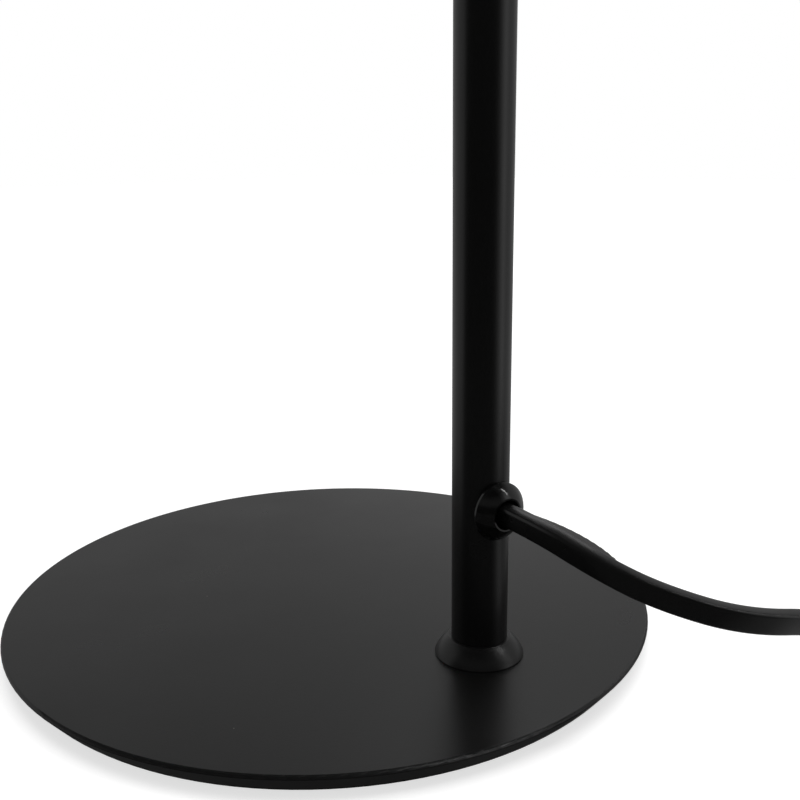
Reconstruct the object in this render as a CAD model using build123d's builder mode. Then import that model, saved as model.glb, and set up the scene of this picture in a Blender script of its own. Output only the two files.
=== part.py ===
"""A round-based LED lamp: an off-centre post on a steel plate, a swing arm and a round tilting head.

Millimetres, +Z up. The origin is on the table, under the middle of the base plate. The post stands
towards +X and the arm rests towards -X, over the plate.
"""

import os
from math import cos, pi, radians, sin, tan

from build123d import *

os.makedirs("parts", exist_ok=True)

# Fits between pieces
fit = 0.05  # radial play of a piece that is pressed, screwed or bonded in place
bearing_play = 0.06  # radial play of a journal that turns
face_play = 0.05  # gap between two faces that turn on each other
blind_room = 1.0  # depth of a blind hole past the end of its screw
screw_sink = 0.2  # how far a set screw lies below the surface
edge_break = 0.6  # chamfer or round on a turned edge
small_edge_break = 0.4
cut_overlap = 1.0  # how far one cut runs into the next

# Base plate and the pad under it
plate_diameter = 205.0
plate_thickness = 6.0
plate_top_round = 0.8
plate_bevel_width = 4.0  # the edge leans in under the plate by this much
plate_bevel_height = 5.0
pad_thickness = 1.0
pad_inset = 1.0
pad_access_hole = 18.0

# Post and its foot
post_offset = 63.0
tube_diameter = 16.0
tube_wall = 1.2
tube_length = 375.0
foot_plug_length = 18.0
foot_screw_diameter = 6.0
foot_screw_head = 12.0
foot_screw_length = 16.0
foot_screw_socket = 4.0
foot_screw_socket_depth = 2.0
foot_screw_point = 1.0
collar_diameter = 25.6
collar_height = 5.4
collar_lip = 0.4
collar_top_wall = 0.8
collar_bulge = 0.3

# Cord, its bushing and the lead inside the lamp
cord_diameter = 6.4
cord_side_count = 8
lead_diameter = 3.6
lead_bend = 4.0
lead_rise = 1.0
lead_end_play = 0.5
exit_height = 45.6
exit_angle = -14.0
bushing_diameter = 16.4
bushing_rim = 0.7
bushing_height = 4.1
bushing_lip_diameter = 9.3
bushing_mouth_diameter = 8.4
bushing_mouth_depth = 1.2
bushing_barrel = 10.4
bushing_bore = 7.3
bushing_barrel_depth = 3.7
bushing_bulge = 0.2
bushing_edge_round = 0.2

# Swivel at the top of the post
spindle_plug_length = 16.0
spindle_bore = 4.8
spindle_flange_thickness = 2.0
journal_diameter = 11.0
journal_length = 16.3
stud_diameter = 8.0
stud_length = 10.2
thrust_washer_thickness = 0.5
thrust_washer_inset = 0.5
swivel_diameter = 26.0
swivel_height = 30.4
swivel_wall = 2.5
washer_diameter = 18.0
washer_thickness = 1.0
spring_washer_thickness = 1.5
spring_washer_sheet = 0.5
spring_washer_inset = 1.0
nut_across_flats = 13.0
nut_height = 6.0
cap_plug_length = 3.0
cap_plug_wall = 1.2
cap_rim = 1.2
cap_dome = 2.2
stop_screw_diameter = 2.5
stop_height = 7.5
stop_groove_depth = 1.5
stop_groove_play = 0.4
stop_limit = 150.0

# Hinge between the swivel and the arm
arm_hinge_reach = 24.0
arm_hinge_height = 17.0
arm_ear_radius = 8.0
arm_ear_thickness = 4.0
arm_tongue_radius = 7.5
arm_tongue_thickness = 9.4
arm_bolt_diameter = 5.0
arm_bolt_head = 8.5
arm_bolt_head_height = 3.0
arm_bolt_socket = 3.0
arm_bolt_socket_depth = 1.8
arm_nut_across_flats = 8.0
arm_nut_height = 4.0
friction_washer_thickness = 0.4
slot_depth_play = 2.0

# Arm
arm_length = 150.0
arm_diameter = 12.0
arm_wall = 1.0
arm_shoulder = 14.0
knuckle_collar = 3.0
knuckle_channel = 6.0
tip_shoulder = 16.0
tip_fork_round = 2.5
spigot_length = 14.0
grub_diameter = 3.0
grub_length = 2.8
lead_channel = 4.3

# Hinge between the arm and the head
head_ear_radius = 6.5
head_ear_thickness = 3.0
head_tongue_radius = 6.3
head_tongue_thickness = 8.0
head_bolt_diameter = 4.0
head_bolt_head = 7.2
head_bolt_head_height = 2.6
head_bolt_socket = 2.5
head_bolt_socket_depth = 1.6
head_nut_across_flats = 7.0
head_nut_height = 3.2

# Head
head_diameter = 96.0
head_depth = 18.0
head_rise = 7.0
head_wall = 2.0
head_top_wall = 2.2
head_edge_round = 2.0
head_gap = 7.0
neck_height = 12.0
neck_channel = 3.0
neck_flange_thickness = 3.0
neck_flange_width = 24.0
neck_flange_height = 12.0
neck_flange_round = 2.0
neck_screw_spacing = 17.0
neck_screw_diameter = 3.0
neck_screw_head = 5.6
neck_screw_length = 8.0
neck_screw_recess = 1.8
neck_screw_recess_depth = 0.7
neck_screw_head_play = 0.1
boss_depth = 4.5
land_diameter = 28.0
land_rise = 3.0
land_bore = 23.0
land_round = 0.8
fin_count = 30
fin_thickness = 1.3
fin_inner_radius = 16.0
fin_inset = 3.0
fin_slope = 4.0
fin_root = 1.0
fin_root_drop = 1.4
fin_drop = 0.6
fin_sink = 0.5
board_diameter = 85.0
board_thickness = 1.6
board_drop = 9.2
standoff_radius = 36.0
standoff_diameter = 6.4
standoff_count = 3
standoff_first_angle = 60.0
board_screw_diameter = 2.9
board_screw_head = 5.5
board_screw_head_height = 1.5
board_screw_length = 7.0
chip_size = 3.0
chip_height = 0.65
chip_ring_count = 3
chip_ring_first = 12.0  # radius of the inmost ring
chip_ring_step = 9.0
chips_per_ring = 6  # in the inmost ring, and as many more in each next one
diffuser_diameter = 88.4
diffuser_thickness = 2.0
bezel_opening = 85.0
bezel_thickness = 1.2
bezel_upstand = 4.0
bezel_upstand_wall = 1.4
driver_length = 24.0
driver_width = 38.0
driver_tray = 1.2
driver_inner_edge = 14.0
driver_block = 4.6
driver_part_margin = 1.5
terminal_length = 6.0
terminal_width = 12.0
capacitor_diameter = 9.0

# Push switch
button_diameter = 12.0
button_play = 0.3
button_rise = 2.5
button_round = 1.0
button_travel = 1.5
button_flange_diameter = 15.0
button_flange_thickness = 2.2
button_flange_play = 0.2
stem_diameter = 4.0
stem_length = 3.8
stem_play = 0.15
switch_width = 13.0
switch_gap = 0.3

# Coil of the stored cord, and the plug
cord_straight = 23.0
coil_radius = 46.0
coil_turn_gap = 0.5
coil_turn_count = 3  # turns of each layer
floor_play = 0.1
plug_tail_length = 20.0
plug_tail_diameter = 8.4
plug_neck_width = 13.5
plug_neck_thickness = 10.4
plug_neck_round = 4.6
plug_taper_length = 14.0
plug_front_length = 8.0
plug_width = 35.3
plug_thickness = 13.7
plug_front_round = 5.5
pin_diameter = 4.0
pin_shank_diameter = 2.8
pin_length = 19.0
pin_spacing = 18.6
pin_seat = 8.0
pin_tip_round = 1.2
sleeve_diameter = 3.6
sleeve_length = 10.0

# Heights and radii that follow
plate_bottom = pad_thickness
plate_top = plate_bottom + plate_thickness
tube_radius = tube_diameter / 2
tube_bore_radius = tube_radius - tube_wall
tube_top = plate_top + tube_length
cord_radius = cord_diameter / 2
lead_radius = lead_diameter / 2
swivel_radius = swivel_diameter / 2
swivel_bottom = spindle_flange_thickness + thrust_washer_thickness + face_play
swivel_floor = spindle_flange_thickness + journal_length + 4 * face_play
swivel_top = swivel_bottom + swivel_height
arm_hinge_x = post_offset - arm_hinge_reach
hinge_z = tube_top + arm_hinge_height
arm_slot = arm_tongue_thickness / 2 + friction_washer_thickness + 2 * face_play
arm_ear_outside = arm_slot + arm_ear_thickness
head_hinge_x = arm_hinge_x - arm_length
head_slot = head_tongue_thickness / 2 + friction_washer_thickness + 2 * face_play
head_ear_outside = head_slot + head_ear_thickness
neck_face_x = head_hinge_x - head_gap
boss_face_x = neck_face_x - neck_flange_thickness
head_radius = head_diameter / 2
head_bore_radius = head_radius - head_wall
fin_outer_radius = head_radius - fin_inset
head_x = boss_face_x - head_wall - head_radius
boss_inner_radius = head_bore_radius - boss_depth / 2
head_top = hinge_z + head_rise
head_ceiling = head_top - head_top_wall
head_bottom = head_top - head_depth
land_top = head_top + land_rise
land_ceiling = land_top - head_top_wall
board_top = head_top - board_drop
board_bottom = board_top - board_thickness
lead_height = hinge_z + lead_rise

# Frames that pieces are built in
exit_direction = Vector(cos(radians(exit_angle)), sin(radians(exit_angle)), 0)
foot_frame = Plane((post_offset, 0, plate_top))
exit_frame = Plane((post_offset, 0, plate_top + exit_height), x_dir=(0, 0, 1), z_dir=exit_direction)
top_frame = Plane((post_offset, 0, tube_top))
head_frame = Plane((head_x, 0, hinge_z))
arm_hinge_frame = Plane((arm_hinge_x, 0, hinge_z), x_dir=(1, 0, 0), z_dir=(0, -1, 0))
head_hinge_frame = Plane((head_hinge_x, 0, hinge_z), x_dir=(1, 0, 0), z_dir=(0, -1, 0))
arm_frame = Plane((arm_hinge_x, 0, hinge_z), x_dir=(0, 1, 0), z_dir=(-1, 0, 0))
tip_frame = Plane((head_hinge_x, 0, hinge_z), x_dir=(0, 1, 0), z_dir=(1, 0, 0))


def across(frame):
    """The plane through a frame's axis: its X runs out from the axis and its Y along it."""
    return Plane(origin=frame.origin, x_dir=frame.x_dir, z_dir=-frame.y_dir)


def axis_of(frame):
    return Axis(frame.origin, frame.z_dir)


def save(piece, label):
    piece.part.label = label
    export_step(piece.part, f"parts/{label}.step")


# Anti-slip pad, cut away under the foot screw
with BuildPart() as anti_slip_pad:
    with BuildSketch():
        Circle(plate_diameter / 2 - plate_bevel_width - pad_inset)
        with Locations((post_offset, 0)):
            Circle(pad_access_hole / 2, mode=Mode.SUBTRACT)
    extrude(amount=pad_thickness)
save(anti_slip_pad, "anti_slip_pad")

# Base plate: its edge leans in under it, and it is countersunk from below for the foot screw
foot_screw_radius = foot_screw_diameter / 2
with BuildPart() as base_plate:
    with BuildSketch(Plane.XY.offset(plate_bottom)):
        Circle(plate_diameter / 2)
    extrude(amount=plate_thickness)
    fillet(base_plate.edges().group_by(Axis.Z)[-1], plate_top_round)
    underside = base_plate.faces().sort_by(Axis.Z)[0]
    chamfer(underside.edges(), plate_bevel_width, plate_bevel_height, reference=underside)
    with Locations(Plane((post_offset, 0, plate_bottom), z_dir=(0, 0, -1))):
        CounterSinkHole(
            radius=foot_screw_radius + fit,
            counter_sink_radius=foot_screw_head / 2 + fit,
            counter_sink_angle=90,
        )
save(base_plate, "base_plate")

# Countersunk foot screw with a hexagon socket
screw_frame = Plane((post_offset, 0, plate_bottom))
head_cone = foot_screw_head / 2 - foot_screw_radius
with BuildPart() as foot_screw:
    with BuildSketch(across(screw_frame)):
        with BuildLine():
            Polyline(
                (0, 0),
                (foot_screw_head / 2, 0),
                (foot_screw_radius, head_cone),
                (foot_screw_radius, foot_screw_length - foot_screw_point),
                (foot_screw_radius - foot_screw_point, foot_screw_length),
                (0, foot_screw_length),
                close=True,
            )
        make_face()
    revolve(axis=axis_of(screw_frame))
    with BuildSketch(screw_frame):
        RegularPolygon(foot_screw_socket / 2, 6, major_radius=False)
    extrude(amount=foot_screw_socket_depth, mode=Mode.SUBTRACT)
save(foot_screw, "foot_screw")

# Threaded plug pressed into the foot of the tube
with BuildPart() as foot_plug:
    with BuildSketch(foot_frame):
        Circle(tube_bore_radius - fit)
    extrude(amount=foot_plug_length)
    chamfer(foot_plug.edges().group_by(Axis.Z)[-1], edge_break)
    with BuildSketch(foot_frame):
        Circle(foot_screw_radius + fit)
    extrude(amount=foot_screw_length - plate_thickness + blind_room, mode=Mode.SUBTRACT)
save(foot_plug, "foot_plug")

# Flared collar that hides the joint between the tube and the plate
collar_inner = tube_radius + fit
collar_top = collar_inner + collar_top_wall
collar_middle = (collar_diameter / 2 + collar_top) / 2 + collar_bulge
with BuildPart() as foot_collar:
    with BuildSketch(across(foot_frame)):
        with BuildLine():
            Polyline(
                (collar_top, collar_height),
                (collar_inner, collar_height),
                (collar_inner, 0),
                (collar_diameter / 2, 0),
                (collar_diameter / 2, collar_lip),
            )
            ThreePointArc(
                (collar_diameter / 2, collar_lip),
                (collar_middle, (collar_height + collar_lip) / 2 + collar_bulge),
                (collar_top, collar_height),
            )
        make_face()
    revolve(axis=axis_of(foot_frame))
save(foot_collar, "foot_collar")

# Post tube, with the hole for the bushing in one wall
with BuildPart() as post_tube:
    with BuildSketch(foot_frame):
        Circle(tube_radius)
        Circle(tube_bore_radius, mode=Mode.SUBTRACT)
    extrude(amount=tube_length)
    with BuildSketch(exit_frame):
        Circle(bushing_barrel / 2 + fit)
    extrude(amount=tube_diameter, mode=Mode.SUBTRACT)
save(post_tube, "post_tube")

# Domed cord bushing: a barrel through the tube wall and a rim that seats on the tube
bushing_seat = tube_radius + fit
bushing_front = bushing_seat + bushing_height
bushing_inside = bushing_seat - bushing_barrel_depth
dome_middle = (bushing_diameter + bushing_lip_diameter) / 4 + bushing_bulge
with BuildPart() as cord_bushing:
    with BuildSketch(across(exit_frame)):
        with BuildLine():
            Polyline(
                (bushing_lip_diameter / 2, bushing_front),
                (bushing_mouth_diameter / 2, bushing_front),
                (bushing_bore / 2, bushing_front - bushing_mouth_depth),
                (bushing_bore / 2, bushing_inside),
                (bushing_barrel / 2, bushing_inside),
                (bushing_barrel / 2, bushing_seat),
                (bushing_diameter / 2, bushing_seat),
                (bushing_diameter / 2, bushing_seat + bushing_rim),
            )
            ThreePointArc(
                (bushing_diameter / 2, bushing_seat + bushing_rim),
                (dome_middle, bushing_seat + (bushing_rim + bushing_height) / 2 + bushing_bulge),
                (bushing_lip_diameter / 2, bushing_front),
            )
        make_face()
    revolve(axis=axis_of(exit_frame))
    rim = cord_bushing.edges().filter_by(GeomType.CIRCLE).sort_by(lambda edge: edge.radius)[-2:]
    fillet(rim, bushing_edge_round)
save(cord_bushing, "cord_bushing")

# Two-core lead from the end of the cord's sheath up the post
lead_start = exit_frame.origin + exit_direction * bushing_inside
stud_top = spindle_flange_thickness + journal_length + stud_length
with BuildPart() as post_lead:
    with BuildLine():
        FilletPolyline(
            lead_start,
            exit_frame.origin,
            (post_offset, 0, tube_top + stud_top),
            radius=lead_bend,
        )
    with BuildSketch(Plane(lead_start, z_dir=-exit_direction)):
        Circle(lead_radius)
    sweep()
save(post_lead, "post_lead")

# Turned spindle in the top of the tube: flange, journal with its stop groove, and threaded stud
journal_radius = journal_diameter / 2
stud_radius = stud_diameter / 2
journal_top = spindle_flange_thickness + journal_length
groove_floor = journal_radius - stop_groove_depth
groove_half_height = stop_screw_diameter / 2 + stop_groove_play
stop_radius = (groove_floor + journal_radius) / 2
stop_screw_half_angle = (stop_screw_diameter / 2 + stop_groove_play) / stop_radius * 180 / pi
stop_wall_half_angle = 180 - stop_limit - stop_screw_half_angle
stop_center = swivel_bottom + stop_height
groove_start = Plane(top_frame.origin, x_dir=(-1, 0, 0)).rotated((0, 0, stop_wall_half_angle))
with BuildPart() as post_spindle:
    with BuildSketch(across(top_frame)):
        with BuildLine():
            Polyline(
                (spindle_bore / 2, -spindle_plug_length),
                (tube_bore_radius - fit, -spindle_plug_length),
                (tube_bore_radius - fit, 0),
                (swivel_radius, 0),
                (swivel_radius, spindle_flange_thickness),
                (journal_radius, spindle_flange_thickness),
                (journal_radius, journal_top),
                (stud_radius, journal_top),
                (stud_radius, stud_top),
                (spindle_bore / 2, stud_top),
                close=True,
            )
        make_face()
    revolve(axis=axis_of(top_frame))
    with BuildSketch(across(groove_start)):
        with Locations(((groove_floor + swivel_radius) / 2, stop_center)):
            Rectangle(swivel_radius - groove_floor, 2 * groove_half_height)
    revolve(
        axis=axis_of(top_frame),
        revolution_arc=360 - 2 * stop_wall_half_angle,
        mode=Mode.SUBTRACT,
    )
save(post_spindle, "post_spindle")

# Nylon thrust washer on the flange
with BuildPart() as thrust_washer:
    with BuildSketch(top_frame.offset(spindle_flange_thickness)):
        Circle(swivel_radius - thrust_washer_inset)
        Circle(journal_radius + bearing_play, mode=Mode.SUBTRACT)
    extrude(amount=thrust_washer_thickness)
save(thrust_washer, "thrust_washer")

# Swivel hub: a bearing on the journal, a cavity for the nut, and two ears for the arm's hinge
slot_end = arm_tongue_radius + slot_depth_play
with BuildPart() as swivel_hub:
    with BuildSketch(arm_hinge_frame):
        Circle(arm_ear_radius)
        with Locations((arm_hinge_reach / 2, 0)):
            Rectangle(arm_hinge_reach, 2 * arm_ear_radius)
    extrude(amount=arm_ear_outside, both=True)
    with BuildSketch(arm_hinge_frame):
        with Locations((slot_end - arm_hinge_reach, 0)):
            Rectangle(2 * arm_hinge_reach, 3 * arm_ear_radius)
    extrude(amount=arm_slot, both=True, mode=Mode.SUBTRACT)
    with BuildSketch(top_frame.offset(swivel_bottom)):
        Circle(swivel_radius)
    extrude(amount=swivel_height)
    chamfer(swivel_hub.edges().group_by(Axis.Z)[0], edge_break)
    with BuildSketch(top_frame.offset(swivel_bottom)):
        Circle(journal_radius + bearing_play)
    extrude(amount=swivel_height, mode=Mode.SUBTRACT)
    with BuildSketch(top_frame.offset(swivel_floor)):
        Circle(swivel_radius - swivel_wall)
    extrude(amount=swivel_height, mode=Mode.SUBTRACT)
    with BuildSketch(arm_hinge_frame):
        Circle(arm_bolt_diameter / 2 + fit)
    extrude(amount=2 * arm_ear_outside, both=True, mode=Mode.SUBTRACT)
    with BuildSketch(Plane((post_offset, 0, tube_top + stop_center), z_dir=(1, 0, 0))):
        Circle(stop_screw_diameter / 2 + fit)
    extrude(amount=swivel_diameter, mode=Mode.SUBTRACT)
save(swivel_hub, "swivel_hub")

# Stop screw: its tip runs in the spindle's groove and meets the wall at each end of the swing
stop_tip = groove_floor + stop_groove_play
with BuildPart() as stop_screw:
    with BuildSketch(Plane((post_offset + stop_tip, 0, tube_top + stop_center), z_dir=(1, 0, 0))):
        Circle(stop_screw_diameter / 2)
    extrude(amount=swivel_radius - stop_tip - screw_sink)
save(stop_screw, "stop_screw")

# Steel washer, spring washer and lock nut that set the swivel's friction
washer_bottom = swivel_floor + face_play
with BuildPart() as swivel_washer:
    with BuildSketch(top_frame.offset(washer_bottom)):
        Circle(washer_diameter / 2)
        Circle(stud_radius + fit, mode=Mode.SUBTRACT)
    extrude(amount=washer_thickness)
save(swivel_washer, "swivel_washer")

spring_bottom = washer_bottom + washer_thickness
spring_washer_edge = washer_diameter / 2 - spring_washer_inset
with BuildPart() as spring_washer:
    with BuildSketch(across(top_frame)):
        with BuildLine():
            Polyline(
                (stud_radius + fit, spring_bottom + spring_washer_thickness - spring_washer_sheet),
                (spring_washer_edge, spring_bottom),
                (spring_washer_edge, spring_bottom + spring_washer_sheet),
                (stud_radius + fit, spring_bottom + spring_washer_thickness),
                close=True,
            )
        make_face()
    revolve(axis=axis_of(top_frame))
save(spring_washer, "spring_washer")

nut_bottom = spring_bottom + spring_washer_thickness
with BuildPart() as swivel_nut:
    with BuildSketch(top_frame.offset(nut_bottom)):
        RegularPolygon(nut_across_flats / 2, 6, major_radius=False)
        Circle(stud_radius + fit, mode=Mode.SUBTRACT)
    extrude(amount=nut_height)
save(swivel_nut, "swivel_nut")

# Domed cap that closes the hub
cap_radius = swivel_radius - swivel_wall - fit
with BuildPart() as hub_cap:
    with BuildSketch(across(top_frame)):
        with BuildLine():
            Polyline(
                (0, swivel_top + cap_rim + cap_dome),
                (0, swivel_top),
                (cap_radius - cap_plug_wall, swivel_top),
                (cap_radius - cap_plug_wall, swivel_top - cap_plug_length),
                (cap_radius, swivel_top - cap_plug_length),
                (cap_radius, swivel_top),
                (swivel_radius, swivel_top),
                (swivel_radius, swivel_top + cap_rim),
            )
            TangentArc(
                (0, swivel_top + cap_rim + cap_dome),
                (swivel_radius, swivel_top + cap_rim),
                tangent=(1, 0),
            )
        make_face()
    revolve(axis=axis_of(top_frame))
save(hub_cap, "hub_cap")


def hinge_bolt(frame, shank, ear_outside, head, head_height, socket, socket_depth, nut_height):
    """A socket-head bolt along a hinge's axis, its head on the -Y side."""
    head_seat = ear_outside + face_play
    with BuildPart() as bolt:
        with BuildSketch(frame.offset(head_seat + head_height)):
            Circle(head / 2)
        extrude(amount=-head_height)
        chamfer(bolt.edges().group_by(Axis.Y)[0], small_edge_break)
        with BuildSketch(frame.offset(head_seat)):
            Circle(shank / 2)
        extrude(amount=-(2 * head_seat + nut_height))
        with BuildSketch(frame.offset(head_seat + head_height)):
            RegularPolygon(socket / 2, 6, major_radius=False)
        extrude(amount=-socket_depth, mode=Mode.SUBTRACT)
    return bolt


def hinge_nut(frame, shank, ear_outside, across_flats, height):
    """A domed hexagon nut on the +Y side of a hinge."""
    with BuildPart() as nut:
        with BuildSketch(frame.offset(-(ear_outside + face_play))):
            RegularPolygon(across_flats / 2, 6, major_radius=False)
            Circle(shank / 2 + fit, mode=Mode.SUBTRACT)
        extrude(amount=-height)
        chamfer(nut.faces().sort_by(Axis.Y)[-1].outer_wire().edges(), small_edge_break)
    return nut


def friction_washers(frame, shank, tongue_thickness, radius):
    """The two fibre washers of a hinge, one on each side of its tongue."""
    with BuildPart() as washers:
        for side in (1, -1):
            with BuildSketch(frame.offset(side * (tongue_thickness / 2 + face_play))):
                Circle(radius)
                Circle(shank / 2 + fit, mode=Mode.SUBTRACT)
            extrude(amount=side * friction_washer_thickness)
    return washers


# Hardware of the arm's hinge
arm_hinge_bolt = hinge_bolt(
    frame=arm_hinge_frame,
    shank=arm_bolt_diameter,
    ear_outside=arm_ear_outside,
    head=arm_bolt_head,
    head_height=arm_bolt_head_height,
    socket=arm_bolt_socket,
    socket_depth=arm_bolt_socket_depth,
    nut_height=arm_nut_height,
)
save(arm_hinge_bolt, "arm_hinge_bolt")
arm_hinge_nut = hinge_nut(
    arm_hinge_frame, arm_bolt_diameter, arm_ear_outside, arm_nut_across_flats, arm_nut_height
)
save(arm_hinge_nut, "arm_hinge_nut")
arm_friction_washers = friction_washers(
    arm_hinge_frame, arm_bolt_diameter, arm_tongue_thickness, arm_tongue_radius
)
save(arm_friction_washers, "arm_friction_washers")

# Arm knuckle: a tongue between the ears and a spigot in the arm tube
arm_radius = arm_diameter / 2
arm_bore_radius = arm_radius - arm_wall
with BuildPart() as arm_knuckle:
    with BuildSketch(arm_hinge_frame):
        Circle(arm_tongue_radius)
        with Locations((-arm_shoulder / 2, 0)):
            Rectangle(arm_shoulder, arm_diameter)
    extrude(amount=arm_tongue_thickness / 2, both=True)
    with BuildSketch(arm_frame.offset(arm_shoulder - knuckle_collar)):
        Circle(arm_radius)
    extrude(amount=knuckle_collar)
    with BuildSketch(arm_frame.offset(arm_shoulder)):
        Circle(arm_bore_radius - fit)
    extrude(amount=spigot_length)
    with BuildSketch(arm_hinge_frame):
        Circle(arm_bolt_diameter / 2 + bearing_play)
    extrude(amount=arm_tongue_thickness, both=True, mode=Mode.SUBTRACT)
    with BuildSketch(arm_frame.offset(arm_shoulder - knuckle_channel)):
        Circle(lead_channel / 2)
    extrude(amount=knuckle_channel + spigot_length, mode=Mode.SUBTRACT)
    with BuildSketch(Plane((arm_hinge_x - arm_shoulder - spigot_length / 2, 0, hinge_z - arm_radius))):
        Circle(grub_diameter / 2 + fit)
    extrude(amount=grub_length + fit, mode=Mode.SUBTRACT)
save(arm_knuckle, "arm_knuckle")

# Tip fork: a spigot in the arm tube and two ears for the head's hinge
tip_slot_end = head_tongue_radius + slot_depth_play
with BuildPart() as tip_fork:
    with BuildSketch(head_hinge_frame):
        Circle(head_ear_radius)
        with Locations((tip_shoulder / 2, 0)):
            Rectangle(tip_shoulder, 2 * head_ear_radius)
    extrude(amount=head_ear_outside, both=True)
    fillet(tip_fork.edges().filter_by(Axis.Z).group_by(Axis.X)[-1], tip_fork_round)
    with BuildSketch(head_hinge_frame):
        with Locations((tip_slot_end - arm_length / 2, 0)):
            Rectangle(arm_length, 3 * head_ear_radius)
    extrude(amount=head_slot, both=True, mode=Mode.SUBTRACT)
    with BuildSketch(tip_frame.offset(tip_shoulder)):
        Circle(arm_bore_radius - fit)
    extrude(amount=spigot_length)
    with BuildSketch(head_hinge_frame):
        Circle(head_bolt_diameter / 2 + fit)
    extrude(amount=2 * head_ear_outside, both=True, mode=Mode.SUBTRACT)
    with BuildSketch(tip_frame):
        Circle(lead_channel / 2)
    extrude(amount=spigot_length + tip_shoulder, mode=Mode.SUBTRACT)
    with BuildSketch(Plane((head_hinge_x + tip_shoulder + spigot_length / 2, 0, hinge_z - arm_radius))):
        Circle(grub_diameter / 2 + fit)
    extrude(amount=grub_length + fit, mode=Mode.SUBTRACT)
save(tip_fork, "tip_fork")

# Arm tube, drilled for a grub screw at each end
arm_tube_length = arm_length - arm_shoulder - tip_shoulder
grub_places = [
    (arm_hinge_x - arm_shoulder - spigot_length / 2, 0),
    (head_hinge_x + tip_shoulder + spigot_length / 2, 0),
]
grub_plane = Plane.XY.offset(hinge_z - arm_radius)
with BuildPart() as arm_tube:
    with BuildSketch(arm_frame.offset(arm_shoulder)):
        Circle(arm_radius)
        Circle(arm_bore_radius, mode=Mode.SUBTRACT)
    extrude(amount=arm_tube_length)
    with BuildSketch(grub_plane):
        with Locations(*grub_places):
            Circle(grub_diameter / 2 + fit)
    extrude(amount=arm_radius, mode=Mode.SUBTRACT)
save(arm_tube, "arm_tube")

with BuildPart() as arm_grub_screws:
    with BuildSketch(grub_plane.offset(screw_sink)):
        with Locations(*grub_places):
            Circle(grub_diameter / 2)
    extrude(amount=grub_length - screw_sink)
save(arm_grub_screws, "arm_grub_screws")

# Lead inside the arm
arm_lead_start = arm_shoulder - knuckle_channel + lead_end_play
arm_lead_length = arm_length - arm_lead_start - tip_slot_end - lead_end_play
with BuildPart() as arm_lead:
    with BuildSketch(arm_frame.offset(arm_lead_start)):
        Circle(lead_radius)
    extrude(amount=arm_lead_length)
save(arm_lead, "arm_lead")

# Hardware of the head's hinge
head_hinge_bolt = hinge_bolt(
    frame=head_hinge_frame,
    shank=head_bolt_diameter,
    ear_outside=head_ear_outside,
    head=head_bolt_head,
    head_height=head_bolt_head_height,
    socket=head_bolt_socket,
    socket_depth=head_bolt_socket_depth,
    nut_height=head_nut_height,
)
save(head_hinge_bolt, "head_hinge_bolt")
head_hinge_nut = hinge_nut(
    head_hinge_frame, head_bolt_diameter, head_ear_outside, head_nut_across_flats, head_nut_height
)
save(head_hinge_nut, "head_hinge_nut")
head_friction_washers = friction_washers(
    head_hinge_frame, head_bolt_diameter, head_tongue_thickness, head_tongue_radius
)
save(head_friction_washers, "head_friction_washers")

# Neck: the head's tongue on a flange, with the lead's channel and two countersunk holes
neck_frame = Plane((neck_face_x, 0, hinge_z), x_dir=(0, 1, 0), z_dir=(1, 0, 0))
neck_screw_places = [(neck_screw_spacing / 2, 0), (-neck_screw_spacing / 2, 0)]
with BuildPart() as head_neck:
    with BuildSketch(head_hinge_frame):
        Circle(head_tongue_radius)
        with Locations((-head_gap / 2, 0)):
            Rectangle(head_gap, neck_height)
    extrude(amount=head_tongue_thickness / 2, both=True)
    with BuildSketch(neck_frame):
        RectangleRounded(neck_flange_width, neck_flange_height, neck_flange_round)
    extrude(amount=-neck_flange_thickness)
    with BuildSketch(head_hinge_frame):
        Circle(head_bolt_diameter / 2 + bearing_play)
    extrude(amount=head_tongue_thickness, both=True, mode=Mode.SUBTRACT)
    with BuildSketch(Plane((boss_face_x, 0, lead_height), x_dir=(0, 1, 0), z_dir=(1, 0, 0))):
        Circle(lead_channel / 2)
    extrude(amount=neck_flange_thickness + neck_channel, mode=Mode.SUBTRACT)
    with Locations(neck_frame):
        with Locations(*neck_screw_places):
            CounterSinkHole(
                radius=neck_screw_diameter / 2 + fit,
                counter_sink_radius=neck_screw_head / 2 + fit,
                depth=neck_flange_thickness,
                counter_sink_angle=90,
            )
save(head_neck, "head_neck")

# Two countersunk screws that hold the neck to the housing
neck_cone = (neck_screw_head - neck_screw_diameter) / 2
with BuildPart() as neck_screws:
    for place in neck_screw_places:
        place_frame = Plane((neck_face_x, place[0], hinge_z), x_dir=(0, 1, 0), z_dir=(-1, 0, 0))
        with BuildSketch(across(place_frame)):
            with BuildLine():
                Polyline(
                    (0, neck_screw_head_play + neck_screw_recess_depth),
                    (neck_screw_recess / 2, neck_screw_head_play),
                    (neck_screw_head / 2 - neck_screw_head_play, neck_screw_head_play),
                    (neck_screw_diameter / 2, neck_cone),
                    (neck_screw_diameter / 2, neck_screw_length),
                    (0, neck_screw_length),
                    close=True,
                )
            make_face()
        revolve(axis=axis_of(place_frame))
save(neck_screws, "neck_screws")

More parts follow.
